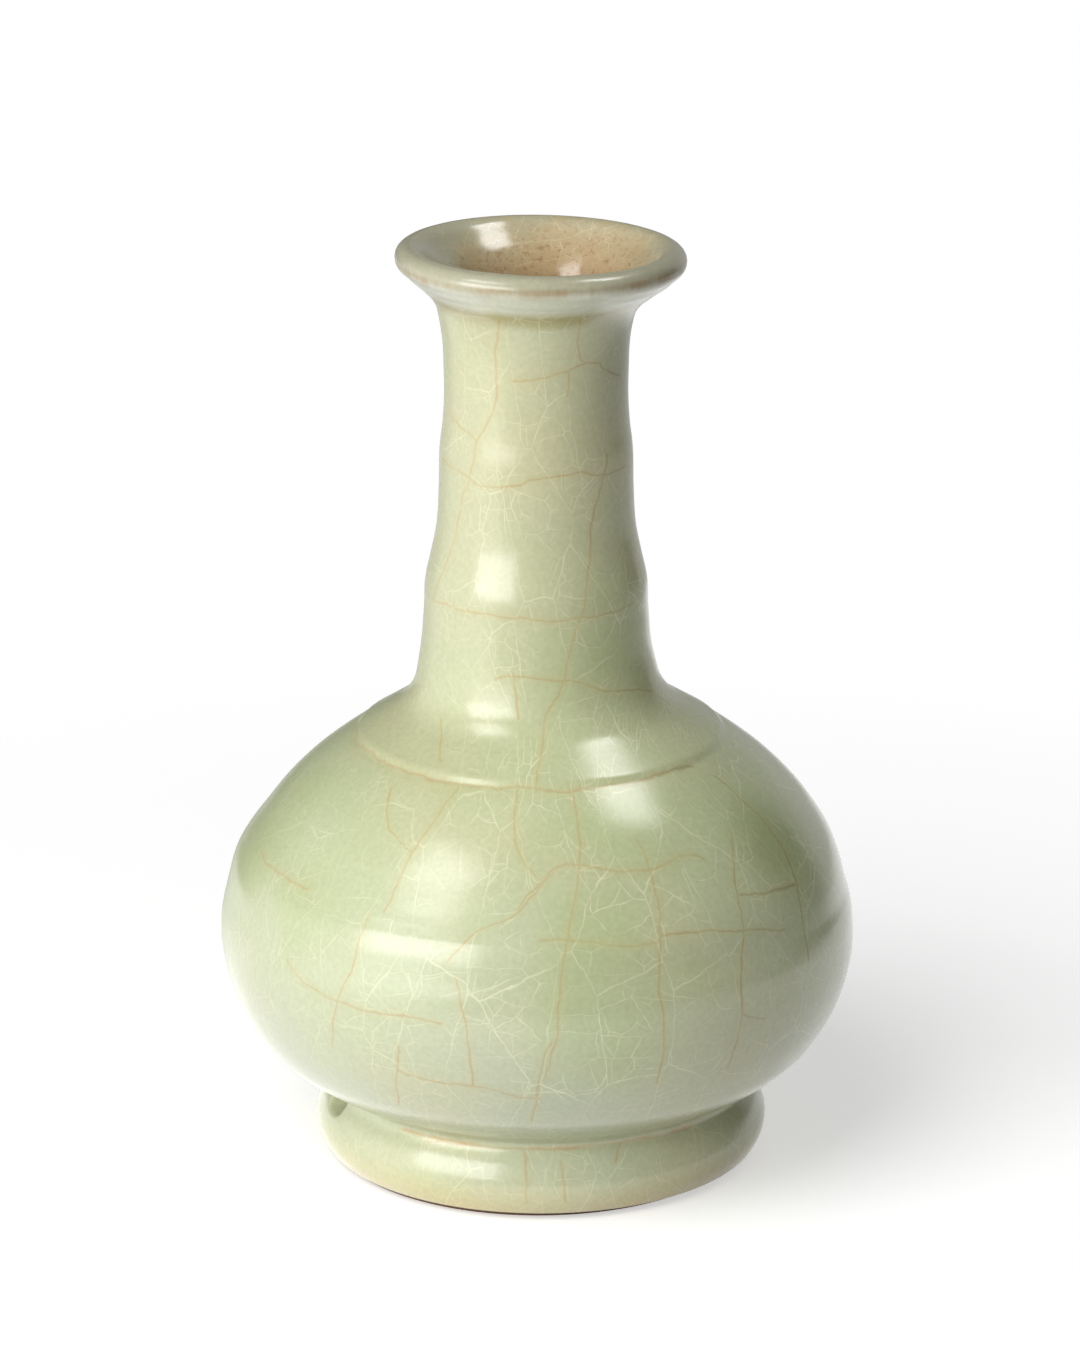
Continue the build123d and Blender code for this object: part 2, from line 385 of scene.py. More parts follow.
def colour_by_height(tree, level, colours):
    """Colours that blend with height, given as pairs of a height in millimetres and a hex colour."""
    top = colours[-1][0]
    share = add_node(
        tree, "ShaderNodeMath", {0: level, 1: 1 / (top * MM)}, operation="MULTIPLY", use_clamp=True
    )
    ramp = add_node(tree, "ShaderNodeValToRGB", {"Fac": share})
    stops = ramp.color_ramp.elements
    stops.remove(stops[1])
    for height, colour in colours:
        stop = stops.new(height / top) if height else stops[0]
        stop.color = linear(colour)
    return ramp


mottle_size = 24 * MM
mottle_drift = 7 * MM
celadon, tree, shader, place = new_material("crackled_celadon")
level = add_node(tree, "ShaderNodeSeparateXYZ", {"Vector": place}).outputs["Z"]
mottle = add_node(
    tree, "ShaderNodeTexNoise", {"Vector": place, "Scale": 1 / mottle_size, "Detail": 3, "Roughness": 0.55}
)
drift = add_node(
    tree, "ShaderNodeMath", {0: mottle, 1: 2 * mottle_drift, 2: -mottle_drift}, operation="MULTIPLY_ADD"
)
drifted_level = add_node(tree, "ShaderNodeMath", {0: level, 1: drift}, operation="ADD")
colour = colour_by_height(
    tree,
    drifted_level,
    [
        (0, "#c4c39d"),
        (12, "#babf9e"),
        (22, "#bdc1a4"),
        (36, "#bbc0a0"),
        (52, "#b7bd9a"),
        (72, "#b5bd94"),
        (104, "#b9bb96"),
        (165, "#b9ba96"),
    ],
)
# Warmer clouds where iron gathered
cloud_size = 38 * MM
clouds = add_node(tree, "ShaderNodeTexNoise", {"Vector": place, "Scale": 1 / cloud_size, "Detail": 2})
cloud_share = add_node(tree, "ShaderNodeMapRange", {"Value": clouds, 1: 0.48, 2: 0.75, 3: 0.0, 4: 0.5})
colour = add_node(
    tree, "ShaderNodeMix", {"Factor": cloud_share, "A": colour, "B": linear("#c1ba94")}, data_type="RGBA"
)
# Cooler and deeper patches where the glaze is thicker, the cool ones below the shoulder and strongest low
# on the belly, where they are partly a painted reflection of the white table.
cool_below = 72 * MM
coolest_below = 45 * MM
patches = add_node(tree, "ShaderNodeSeparateColor", {"Color": clouds.outputs["Color"]})
cool_tone_and_reflection_zone = add_node(
    tree, "ShaderNodeMapRange", {"Value": level, 1: cool_below, 2: coolest_below, 3: 0.0, 4: 0.4}
)
cool_tone_and_reflection_share = add_node(
    tree, "ShaderNodeMapRange", {"Value": patches.outputs["Green"], 1: 0.5, 2: 0.7, 4: cool_tone_and_reflection_zone}
)
colour = add_node(
    tree, "ShaderNodeMix", {"Factor": cool_tone_and_reflection_share, "A": colour, "B": linear("#adb5a4")}, data_type="RGBA"
)
deep_share = add_node(
    tree, "ShaderNodeMapRange", {"Value": patches.outputs["Blue"], 1: 0.5, 2: 0.68, 3: 0.0, 4: 0.6}
)
colour = add_node(
    tree, "ShaderNodeMix", {"Factor": deep_share, "A": colour, "B": linear("#aab482")}, data_type="RGBA"
)
# A darker olive patch, high on the right of the belly
olive_patch_middle = Vector((32.0, -35.5, 64)) * MM
olive_patch_waver = 8 * MM
olive_patch_core = 8 * MM
olive_patch_edge = 17 * MM
from_olive_patch = add_node(tree, "ShaderNodeVectorMath", {0: place, 1: olive_patch_middle}, operation="DISTANCE")
olive_patch_reach = add_node(
    tree, "ShaderNodeMath", {0: mottle, 1: olive_patch_waver, 2: from_olive_patch.outputs["Value"]}, operation="MULTIPLY_ADD"
)
olive_patch_share = add_node(
    tree, "ShaderNodeMapRange", {"Value": olive_patch_reach, 1: olive_patch_core, 2: olive_patch_edge, 3: 0.5, 4: 0.0}
)
colour = add_node(
    tree, "ShaderNodeMix", {"Factor": olive_patch_share, "A": colour, "B": linear("#8a945f")}, data_type="RGBA"
)
# Ochre, low on the foot
ochre_below = 8 * MM
fully_ochre = 1 * MM
thin_foot = add_node(
    tree, "ShaderNodeMapRange", {"Value": level, 1: ochre_below, 2: fully_ochre, 3: -0.1, 4: 1.1}
)
thin_here = add_node(tree, "ShaderNodeMath", {0: thin_foot, 1: clouds}, operation="MULTIPLY", use_clamp=True)
colour = add_node(
    tree, "ShaderNodeMix", {"Factor": thin_here, "A": colour, "B": linear("#d3bb80")}, data_type="RGBA"
)
# Under the lip: an olive band where the glaze pooled, then a pale grey one, partly a painted reflection of
# the white table below, and the grey-olive roll of the lip. Each band has its colour, and the heights where
# it starts and where it is full, in millimetres.
lip_bands = [("#b3ab7e", 154.6, 157.2), ("#dcddca", 157.6, 159.4), ("#a9a78e", 161.8, 163.4)]
waver_size = 9 * MM
waver_reach = 1.6 * MM
waver = add_node(tree, "ShaderNodeTexNoise", {"Vector": place, "Scale": 1 / waver_size, "Detail": 2})
wavering_level = add_node(
    tree, "ShaderNodeMath", {0: waver, 1: waver_reach, 2: level}, operation="MULTIPLY_ADD"
)
for band_colour, start, full in lip_bands:
    band = add_node(tree, "ShaderNodeMapRange", {"Value": wavering_level, 1: start * MM, 2: full * MM})
    colour = add_node(
        tree, "ShaderNodeMix", {"Factor": band, "A": colour, "B": linear(band_colour)}, data_type="RGBA"
    )
# Fine bubbles, drawn a little coarser than they are
bubble_size = 0.9 * MM
bubbles = add_node(tree, "ShaderNodeTexNoise", {"Vector": place, "Scale": 1 / bubble_size, "Detail": 2})
bubble_light = add_node(tree, "ShaderNodeMapRange", {"Value": bubbles, 1: 0.3, 2: 0.7, 3: 0.95, 4: 1.05})
colour = add_node(tree, "ShaderNodeHueSaturation", {"Value": bubble_light, "Color": colour})

# Crackle: the glaze shrank more than the clay as the kiln cooled. Later cracks end at earlier ones, so each
# cell of a wide net is cracked again by a net of its own. Most of them stayed pale.


def turn_from_front(tree, place):
    """Radians about the axis of the vase, to the right of the front."""
    x, y, _ = add_node(tree, "ShaderNodeSeparateXYZ", {"Vector": place}).outputs
    forward = add_node(tree, "ShaderNodeMath", {0: y, 1: -1.0}, operation="MULTIPLY")
    around = add_node(tree, "ShaderNodeMath", {0: x, 1: forward}, operation="ARCTAN2")
    return add_node(tree, "ShaderNodeMath", {0: around, 1: front_turn}, operation="SUBTRACT")


def radius_and_height(tree, place):
    """Distance of a place from the axis of the vase, and its height, in metres."""
    x, y, height = add_node(tree, "ShaderNodeSeparateXYZ", {"Vector": place}).outputs
    flat = add_node(tree, "ShaderNodeCombineXYZ", {"X": x, "Y": y})
    return add_node(tree, "ShaderNodeVectorMath", {0: flat}, operation="LENGTH"), height


def folded_back(tree, from_front):
    """Radians from the front between the left and right sides. The back mirrors the front."""
    from_left = add_node(tree, "ShaderNodeMath", {0: from_front, 1: math.pi / 2}, operation="ADD")
    folded = add_node(tree, "ShaderNodeMath", {0: from_left, 1: math.pi}, operation="PINGPONG")
    return add_node(tree, "ShaderNodeMath", {0: folded, 1: math.pi / 2}, operation="SUBTRACT")


def crackle(tree, place, cell):
    """A flat net of cracks about a cell apart: the metres to the nearest one, and each cell's own place."""
    edges = add_node(
        tree,
        "ShaderNodeTexVoronoi",
        {"Vector": place, "Scale": 1 / cell},
        voronoi_dimensions="2D",
        feature="DISTANCE_TO_EDGE",
    )
    gap = add_node(tree, "ShaderNodeMath", {0: edges, 1: cell}, operation="MULTIPLY")
    cells = add_node(
        tree, "ShaderNodeTexVoronoi", {"Vector": place, "Scale": 1 / cell}, voronoi_dimensions="2D"
    )
    # Each cell moves up to this many metres, so that the next net falls differently in it
    move = 0.3
    own_place = add_node(
        tree,
        "ShaderNodeVectorMath",
        {0: cells.outputs["Color"], 1: (move, move, move), 2: place},
        operation="MULTIPLY_ADD",
    )
    return gap, own_place


def pale_cracks(tree, place, wall_radius, slant, widest, half_width):
    """How much of a pale crack shows on a wall unrolled at a radius, where slant adds radius to height."""
    bent = add_node(tree, "ShaderNodeTexNoise", {"Vector": place, "Scale": 1 / (0.5 * widest), "Detail": 2})
    reach = 0.2 * widest
    bend = add_node(
        tree,
        "ShaderNodeVectorMath",
        {0: bent.outputs["Color"], 1: (reach, reach, reach), 2: place},
        operation="MULTIPLY_ADD",
    )
    turned = folded_back(tree, turn_from_front(tree, bend))
    radius, height = radius_and_height(tree, bend)
    across = add_node(tree, "ShaderNodeMath", {0: turned, 1: wall_radius}, operation="MULTIPLY")
    up = add_node(tree, "ShaderNodeMath", {0: radius, 1: slant, 2: height}, operation="MULTIPLY_ADD")
    net_place = add_node(tree, "ShaderNodeCombineXYZ", {"X": across, "Y": up})
    clear = add_node(
        tree, "ShaderNodeTexNoise", {"Vector": place, "Scale": 1 / widest, "Detail": 3, "Roughness": 0.65}
    )
    # The first net is upright, the second makes rungs between its cracks, and the third is fine and faint.
    # Each has its cell, its stretch, and how strong it is where cracks are least and most clear.
    nets = [
        (widest, (1, 0.5, 0), 0.3, 1.0),
        (0.55 * widest, (0.7, 2.2, 0), -0.1, 0.9),
        (0.42 * widest, (1.4, 0.6, 0), -0.5, 0.6),
    ]
    line_core = 0.3 * half_width
    line_edge = 1.6 * half_width
    shown = 0.0
    for cell, stretch, low, high in nets:
        stretched = add_node(tree, "ShaderNodeVectorMath", {0: net_place, 1: stretch}, operation="MULTIPLY")
        gap, net_place = crackle(tree, stretched, cell)
        line = add_node(
            tree, "ShaderNodeMapRange", {"Value": gap, 1: line_core, 2: line_edge, 3: 1.0, 4: 0.0}
        )
        strength = add_node(tree, "ShaderNodeMapRange", {"Value": clear, 1: 0.38, 2: 0.62, 3: low, 4: high})
        drawn = add_node(tree, "ShaderNodeMath", {0: line, 1: strength}, operation="MULTIPLY", use_clamp=True)
        shown = add_node(tree, "ShaderNodeMath", {0: shown, 1: drawn}, operation="MAXIMUM")
    return shown


# The net is unrolled at a wider radius on the belly than on the neck
belly_net_radius = 46 * MM
belly_net_below = 74 * MM
neck_net_radius = 19 * MM
neck_net_above = 96 * MM
wall_radius = add_node(
    tree,
    "ShaderNodeMapRange",
    {"Value": level, 1: belly_net_below, 2: neck_net_above, 3: belly_net_radius, 4: neck_net_radius},
    interpolation_type="SMOOTHSTEP",
)
pale = pale_cracks(tree, place, wall_radius, slant=0.0, widest=9 * MM, half_width=0.07 * MM)
# They show less on the left, where the light is strongest, and hardly on the lip
faint_side = math.radians(-65)
clear_side = math.radians(-5)
pale_until = 156 * MM
lip_from = 159 * MM
pale_turned = folded_back(tree, turn_from_front(tree, place))
pale_seen = add_node(
    tree, "ShaderNodeMapRange", {"Value": pale_turned, 1: faint_side, 2: clear_side, 3: 0.3, 4: 0.62}
)
pale_below_lip = add_node(
    tree, "ShaderNodeMapRange", {"Value": level, 1: pale_until, 2: lip_from, 3: 1.0, 4: 0.1}
)
pale_depth = add_node(tree, "ShaderNodeMath", {0: pale_seen, 1: pale_below_lip}, operation="MULTIPLY")
pale_share = add_node(tree, "ShaderNodeMath", {0: pale, 1: pale_depth}, operation="MULTIPLY")
colour = add_node(
    tree, "ShaderNodeMix", {"Factor": pale_share, "A": colour, "B": linear("#dfdfbd")}, data_type="RGBA"
)

# Long stained cracks, which opened first. Those that climb the wall have heights in millimetres with degrees
# to the right of the front, and those that go round it have degrees with heights. The back mirrors the front.
climbing_cracks = [
    [(156, -22), (148, -26), (142, -26), (137, -32), (133, -40), (128, -44), (121, -51), (112, -58),
     (103, -67)],
    [(131, 46), (127, 42), (119, 33), (113, 29), (106, 25), (102, 20), (97, 15), (91, 10), (86, 3), (77, -1)],
    [(77, 10), (72, 10), (68, 9), (62, 7), (56, 5), (49, 4), (41, 3), (33, 1)],
    [(70, 23), (65, 24), (57, 23), (50, 22), (41, 22), (30, 22)],
    [(68, 49), (63, 44), (55, 41), (47, 39), (38, 38), (30, 37)],
    [(75, 58), (70, 60), (65, 61), (59, 60), (53, 58), (45, 57)],
    [(77, -24), (74, -26), (68, -29), (63, -30), (59, -31)],
    [(67, 4), (65, 0), (61, -4), (58, -11), (53, -17)],
    [(50, -15), (44, -13), (37, -12), (31, -12)],
    [(37, -25), (29, -27), (24, -28)],
    [(40, 2), (33, 0), (23, -1)],
    [(12.7, -4), (9, -3), (4, -3)],
    [(13, 22), (10, 20)],
    [(11, 6), (4, 7)],
    [(77, -7), (72.5, -6), (69, -4), (66, 0)],
    [(75, -45), (72, -41), (69.6, -36), (68, -29)],
    [(58, -34), (50, -35), (45, -37), (34, -40)],
    [(156, 23), (149.5, 26), (147.6, 33)],
    [(146, 19), (142, 18)],
    [(84, -47), (80, -35)],
    [(94, -12), (86, -9)],
]
circling_cracks = [
    [(-75, 128), (-47, 127), (-33, 126), (-14, 126.5), (-3, 128), (24, 128.5), (44, 127.5), (63, 128)],
    [(-67, 103.5), (-46, 104), (-22, 104), (-7, 104), (13, 103.5), (39, 103.5), (59, 104)],
    [(-89, 77.5), (-47, 77.4), (-32, 77.2), (-5, 77.4), (6, 77.1), (27, 77.4), (43, 77.3), (54, 76.8)],
    [(-4, 61.4), (1, 66), (5, 67.6), (9, 67.6), (21, 66), (25, 66), (34, 67), (38, 65)],
    [(0, 57), (5, 56.8), (22, 55.2), (23, 56.3), (41, 54.2), (52, 52.3)],
    [(-73, 59.7), (-64, 59), (-57, 59), (-51, 59.5)],
    [(-51, 46.8), (-44, 44), (-35, 42.8), (-25, 43), (-17, 42.6)],
    [(-26, 32.5), (-20, 31), (-12, 31), (-5, 29.4), (0, 28.7)],
    [(-32, 12.3), (-23, 12.5), (6, 13), (21, 13), (31, 13.2)],
    [(-16, 144.7), (4, 145.7), (18, 146.3), (33, 147.7), (45, 146), (66, 143.7)],
    [(-21, 93.1), (-2, 93.4), (18, 92.2), (36, 90), (64, 87.7), (77, 83.6)],
    [(-68, 136.7), (-40, 133.5)],
    [(43, 59.2), (59, 57.8)],
    [(38, 40.8), (44, 38.1)],
]
# They waver as they go, and their edges are ragged
crack_waver_size = 7 * MM
crack_waver_reach = 2.2 * MM
ragged_size = 5 * MM
ragged_reach = 0.3 * MM
unsteady = add_node(
    tree,
    "ShaderNodeTexNoise",
    {"Vector": place, "Scale": 1 / crack_waver_size, "Detail": 3, "Roughness": 0.6},
)
centred = add_node(
    tree, "ShaderNodeVectorMath", {0: unsteady.outputs["Color"], 1: (0.5, 0.5, 0.5)}, operation="SUBTRACT"
)
shaken = add_node(
    tree,
    "ShaderNodeVectorMath",
    {0: centred, 1: (crack_waver_reach, crack_waver_reach, crack_waver_reach), 2: place},
    operation="MULTIPLY_ADD",
)
shaken_turn = folded_back(tree, turn_from_front(tree, shaken))
radius, height = radius_and_height(tree, shaken)
turned = add_node(tree, "ShaderNodeMath", {0: shaken_turn}, operation="DEGREES")
one_degree = add_node(tree, "ShaderNodeMath", {0: radius, 1: math.radians(1)}, operation="MULTIPLY")
raised = add_node(tree, "ShaderNodeMath", {0: height, 1: 1 / MM}, operation="MULTIPLY")
routes = [(route, raised, MM, turned, one_degree) for route in climbing_cracks]
routes += [(route, turned, one_degree, raised, MM) for route in circling_cracks]
nearest = 1.0
for route, along, along_unit, across, across_unit in routes:
    route = sorted(route)
    start, end = route[0][0], route[-1][0]
    low, high = min(p[1] for p in route), max(p[1] for p in route)
    share = add_node(tree, "ShaderNodeMapRange", {"Value": along, 1: start, 2: end})
    line = add_node(tree, "ShaderNodeFloatCurve", {"Value": share})
    bends = line.mapping.curves[0].points
    shares = [((p[0] - start) / (end - start), (p[1] - low) / (high - low)) for p in route]
    bends[0].location, bends[1].location = shares[0], shares[-1]
    for bend in shares[1:-1]:
        bends.new(*bend)
    line.mapping.update()
    middle = add_node(tree, "ShaderNodeMapRange", {"Value": line, 3: low, 4: high}, clamp=False)
    aside = add_node(tree, "ShaderNodeMath", {0: across, 1: middle}, operation="SUBTRACT")
    apart = add_node(tree, "ShaderNodeMath", {0: aside}, operation="ABSOLUTE")
    gap = add_node(tree, "ShaderNodeMath", {0: apart, 1: across_unit}, operation="MULTIPLY")
    held = add_node(tree, "ShaderNodeClamp", {"Value": along, "Min": start, "Max": end})
    past = add_node(tree, "ShaderNodeMath", {0: along, 1: held}, operation="SUBTRACT")
    beyond = add_node(tree, "ShaderNodeMath", {0: past}, operation="ABSOLUTE")
    whole_gap = add_node(tree, "ShaderNodeMath", {0: beyond, 1: along_unit, 2: gap}, operation="MULTIPLY_ADD")
    nearest = add_node(tree, "ShaderNodeMath", {0: nearest, 1: whole_gap}, operation="MINIMUM")
ragged = add_node(tree, "ShaderNodeTexNoise", {"Vector": place, "Scale": 1 / ragged_size, "Detail": 2})
crack_edge = add_node(
    tree, "ShaderNodeMath", {0: ragged, 1: -ragged_reach, 2: nearest}, operation="MULTIPLY_ADD"
)
crack_line = add_node(
    tree, "ShaderNodeMapRange", {"Value": crack_edge, 1: -0.22 * MM, 2: 0.16 * MM, 3: 1.0, 4: 0.0}
)
crack_depth = add_node(tree, "ShaderNodeMapRange", {"Value": turned, 1: -60.0, 2: -5.0, 3: 0.46, 4: 0.6})
crack_shown = add_node(tree, "ShaderNodeMapRange", {"Value": mottle, 1: 0.36, 2: 0.56, 3: 0.55, 4: 1.0})
crack_share = add_node(tree, "ShaderNodeMath", {0: crack_depth, 1: crack_shown}, operation="MULTIPLY")
crack = add_node(tree, "ShaderNodeMath", {0: crack_line, 1: crack_share}, operation="MULTIPLY")
# The stain spreads a little into the glaze beside a crack. It is rusty at the front, and dark olive at the
# right, where it is partly painted shade for the side away from the lamps.
halo_reach = 1.6 * MM
halo = add_node(tree, "ShaderNodeMapRange", {"Value": nearest, 1: 0.0, 2: halo_reach, 3: 0.2, 4: 0.0})
rust = add_node(tree, "ShaderNodeMapRange", {"Value": turned, 1: 62.0, 2: 25.0})
stain_and_shade_tint = add_node(
    tree, "ShaderNodeMix", {"Factor": rust, "A": linear("#77734a"), "B": linear("#b08a5c")}, data_type="RGBA"
)
colour = add_node(
    tree, "ShaderNodeMix", {"Factor": halo, "A": colour, "B": linear("#bfb07c")}, data_type="RGBA"
)
colour = add_node(tree, "ShaderNodeMix", {"Factor": crack, "A": colour, "B": stain_and_shade_tint}, data_type="RGBA")

# Rusty stain in the groove above the foot
groove_level = (waist_level - 0.4) * MM
groove_core = 0.1 * MM
groove_edge = 0.6 * MM
groove_depth = add_node(tree, "ShaderNodeMath", {0: level, 1: groove_level}, operation="SUBTRACT")
groove_gap = add_node(tree, "ShaderNodeMath", {0: groove_depth}, operation="ABSOLUTE")
groove_near = add_node(
    tree, "ShaderNodeMapRange", {"Value": groove_gap, 1: groove_core, 2: groove_edge, 3: 0.5, 4: 0.0}
)
groove_rust = add_node(tree, "ShaderNodeMapRange", {"Value": waver, 1: 0.46, 2: 0.64})
groove_share = add_node(tree, "ShaderNodeMath", {0: groove_near, 1: groove_rust}, operation="MULTIPLY")
colour = add_node(
    tree, "ShaderNodeMix", {"Factor": groove_share, "A": colour, "B": linear("#b98a58")}, data_type="RGBA"
)

# Brown edge of the lip, where the glaze ran thin and left short streaks
streak_size = 2 * MM
streak_place = add_node(tree, "ShaderNodeVectorMath", {0: place, 1: (1, 1, 0.2)}, operation="MULTIPLY")
streaks = add_node(
    tree,
    "ShaderNodeTexNoise",
    {"Vector": streak_place, "Scale": 1 / streak_size, "Detail": 3, "Roughness": 0.65},
)
thin_lip = add_node(tree, "ShaderNodeMath", {0: streaks, 1: waver}, operation="ADD")
brown_from = add_node(tree, "ShaderNodeMapRange", {"Value": level, 1: 161.3 * MM, 2: 162.3 * MM})
brown_until = add_node(tree, "ShaderNodeMapRange", {"Value": level, 1: 163.5 * MM, 2: 162.9 * MM})
brown_band = add_node(tree, "ShaderNodeMath", {0: brown_from, 1: brown_until}, operation="MULTIPLY")
brown_depth = add_node(tree, "ShaderNodeMapRange", {"Value": thin_lip, 1: 0.8, 2: 1.2, 3: 0.0, 4: 0.65})
brown_share = add_node(tree, "ShaderNodeMath", {0: brown_band, 1: brown_depth}, operation="MULTIPLY")
colour = add_node(
    tree, "ShaderNodeMix", {"Factor": brown_share, "A": colour, "B": linear("#9a7a50")}, data_type="RGBA"
)
tree.links.new(colour.outputs["Result"], shader.inputs["Base Color"])

# The surface keeps faint rings from the wheel, and the bubbly glass scatters its gloss a little
wheel_mark_length = 42 * MM
wheel_mark_narrowing = 7
wheel_mark_height = 0.1 * MM
wheel_place = add_node(
    tree, "ShaderNodeVectorMath", {0: place, 1: (1, 1, wheel_mark_narrowing)}, operation="MULTIPLY"
)
wheel_marks = add_node(
    tree, "ShaderNodeTexNoise", {"Vector": wheel_place, "Scale": 1 / wheel_mark_length, "Detail": 2}
)
wheel_bump = add_node(
    tree, "ShaderNodeBump", {"Height": wheel_marks, "Distance": wheel_mark_height, "Strength": 1.0}
)
tree.links.new(wheel_bump.outputs["Normal"], shader.inputs["Normal"])
gloss = add_node(tree, "ShaderNodeMapRange", {"Value": mottle, 1: 0.3, 2: 0.7, 3: 0.19, 4: 0.25})
tree.links.new(gloss.outputs["Result"], shader.inputs["Roughness"])
shader.inputs["IOR"].default_value = 1.55

glazed_outside = finish_piece(skin, "outer_glaze_coat", celadon)
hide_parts("outer_glaze")

# Inner coat: a thinner celadon, poured in and out again, over the inside of the mouth, neck and belly. It
# meets the outer coat on the crest of the lip, and the dark clay shows through it.

inner_thickness = 0.7 * MM
inner_steps = 6
# Radius and height in millimetres, from the middle of the floor to the crest of the lip
inner_outline = [
    (0, 21.9, ((0, 0), (8, 0))),
    (30.0, 21.9, ((-8, 0), (4, 0))),
    (38.4, 23.0),
    (43.1, 25.0),
    (47.75, 30.0),
    (50.3, 43.0),
    (46.93, 55.0),
    (39.1, 65.0),
    (25.4, 75.0),
    (20.4, 80.0),
    (17.7, 85.0),
    (15.1, 100.0),
    (12.44, 120.0),
    (12.1, 130.0),
    (11.4, 140.0),
    (11.77, 150.0),
    (12.81, 155.0),
    (16.04, 160.0),
    (18.46, 162.2),
    (crest_radius, crest_level, ((-1.7, 0), (0, 0))),
]
skin = turn_outline(inner_outline, inner_steps)
bmesh.ops.solidify(skin, geom=skin.faces[:], thickness=inner_thickness)

# Thin celadon over dark clay: green-grey on the lip, then brown with iron specks and close, pale crackle.
iron_size = 7 * MM
iron_drift = 3 * MM
speck_size = 1 * MM
specks_below = 163 * MM
all_specks_below = 158 * MM
throat_net_radius = 16 * MM
inside_celadon, tree, shader, place = new_material("thin_brown_celadon")
# The brown reaches higher at the back and right
brown_tilt = Vector((-0.123, -0.099, 1))
tilted = add_node(tree, "ShaderNodeVectorMath", {0: place, 1: brown_tilt}, operation="DOT_PRODUCT")
level = tilted.outputs["Value"]
iron = add_node(
    tree, "ShaderNodeTexNoise", {"Vector": place, "Scale": 1 / iron_size, "Detail": 3, "Roughness": 0.6}
)
drift = add_node(
    tree, "ShaderNodeMath", {0: iron, 1: 2 * iron_drift, 2: -iron_drift}, operation="MULTIPLY_ADD"
)
drifted_level = add_node(tree, "ShaderNodeMath", {0: level, 1: drift}, operation="ADD")
colour = colour_by_height(
    tree,
    drifted_level,
    [
        (0, "#6d5c40"),
        (120, "#6d5c40"),
        (140, "#8a6c46"),
        (150, "#a68a60"),
        (156, "#b89e76"),
        (160, "#b8a884"),
        (163, "#b0ae92"),
        (165, "#b0ae94"),
    ],
)
specks = add_node(
    tree, "ShaderNodeTexNoise", {"Vector": place, "Scale": 1 / speck_size, "Detail": 3, "Roughness": 0.7}
)
speck_zone = add_node(
    tree, "ShaderNodeMapRange", {"Value": level, 1: specks_below, 2: all_specks_below, 3: 0.0, 4: 0.7}
)
speck_spots = add_node(tree, "ShaderNodeMapRange", {"Value": specks, 1: 0.52, 2: 0.68})
speck_share = add_node(tree, "ShaderNodeMath", {0: speck_zone, 1: speck_spots}, operation="MULTIPLY")
colour = add_node(
    tree, "ShaderNodeMix", {"Factor": speck_share, "A": colour, "B": linear("#8f683c")}, data_type="RGBA"
)
pale = pale_cracks(tree, place, throat_net_radius, slant=0.7, widest=5 * MM, half_width=0.055 * MM)
pale_share = add_node(tree, "ShaderNodeMath", {0: pale, 1: 0.45}, operation="MULTIPLY")
colour = add_node(
    tree, "ShaderNodeMix", {"Factor": pale_share, "A": colour, "B": linear("#ddd3b0")}, data_type="RGBA"
)
tree.links.new(colour.outputs["Result"], shader.inputs["Base Color"])
gloss = add_node(tree, "ShaderNodeMapRange", {"Value": iron, 1: 0.3, 2: 0.7, 3: 0.14, 4: 0.2})
tree.links.new(gloss.outputs["Result"], shader.inputs["Roughness"])
shader.inputs["IOR"].default_value = 1.55

glazed_inside = finish_piece(skin, "inner_glaze_coat", inside_celadon)
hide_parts("inner_glaze")

# Base coat: glaze brushed on the hollow under the base, inside the foot ring. It is the same celadon as
# outside, and was fired with it.

paint(("base_glaze",), celadon)

# Floor and air: a plain white table in a white room, with a dark screen at the right. The camera sees both as
# white, apart from the shadow, and the glaze mirrors the room.

# Metres from the axis: the edge of the floor, the end of its shadow, and where the camera sees pure white
floor_half_width = 0.32
shadow_reach = 0.13
white_from = 0.28
# How much brighter than it is lit the camera sees the floor
camera_lift = 0.53
# Degrees to the right of the front, and how much brighter the table is there in a reflection
table_lift = [
    (-180, 0.1),
    (-155, 0.1),
    (-125, 1.2),
    (-40, 1.3),
    (60, 0.7),
    (110, 0.9),
    (170, 0.9),
    (180, 0.1),
]


def light_around(tree, place, lights):
    """A light that blends with the direction from the axis, given as pairs of degrees and strengths."""
    turned = add_node(
        tree,
        "ShaderNodeMath",
        {0: turn_from_front(tree, place), 1: math.pi, 2: -math.pi},
        operation="WRAP",
    )
    share = add_node(tree, "ShaderNodeMapRange", {"Value": turned, 1: -math.pi, 2: math.pi})
    ramp = add_node(tree, "ShaderNodeValToRGB", {"Fac": share})
    stops = ramp.color_ramp.elements
    stops.remove(stops[1])
    for degrees, light in lights:
        stop = stops.new((degrees + 180) / 360) if degrees > -180 else stops[0]
        stop.color = (light, light, light, 1)
    return ramp


bm = bmesh.new()
bmesh.ops.create_grid(bm, x_segments=1, y_segments=1, size=floor_half_width)
mesh = bpy.data.meshes.new("floor")
bm.to_mesh(mesh)
bm.free()
floor = bpy.data.objects.new("floor", mesh)
bpy.context.scene.collection.objects.link(floor)
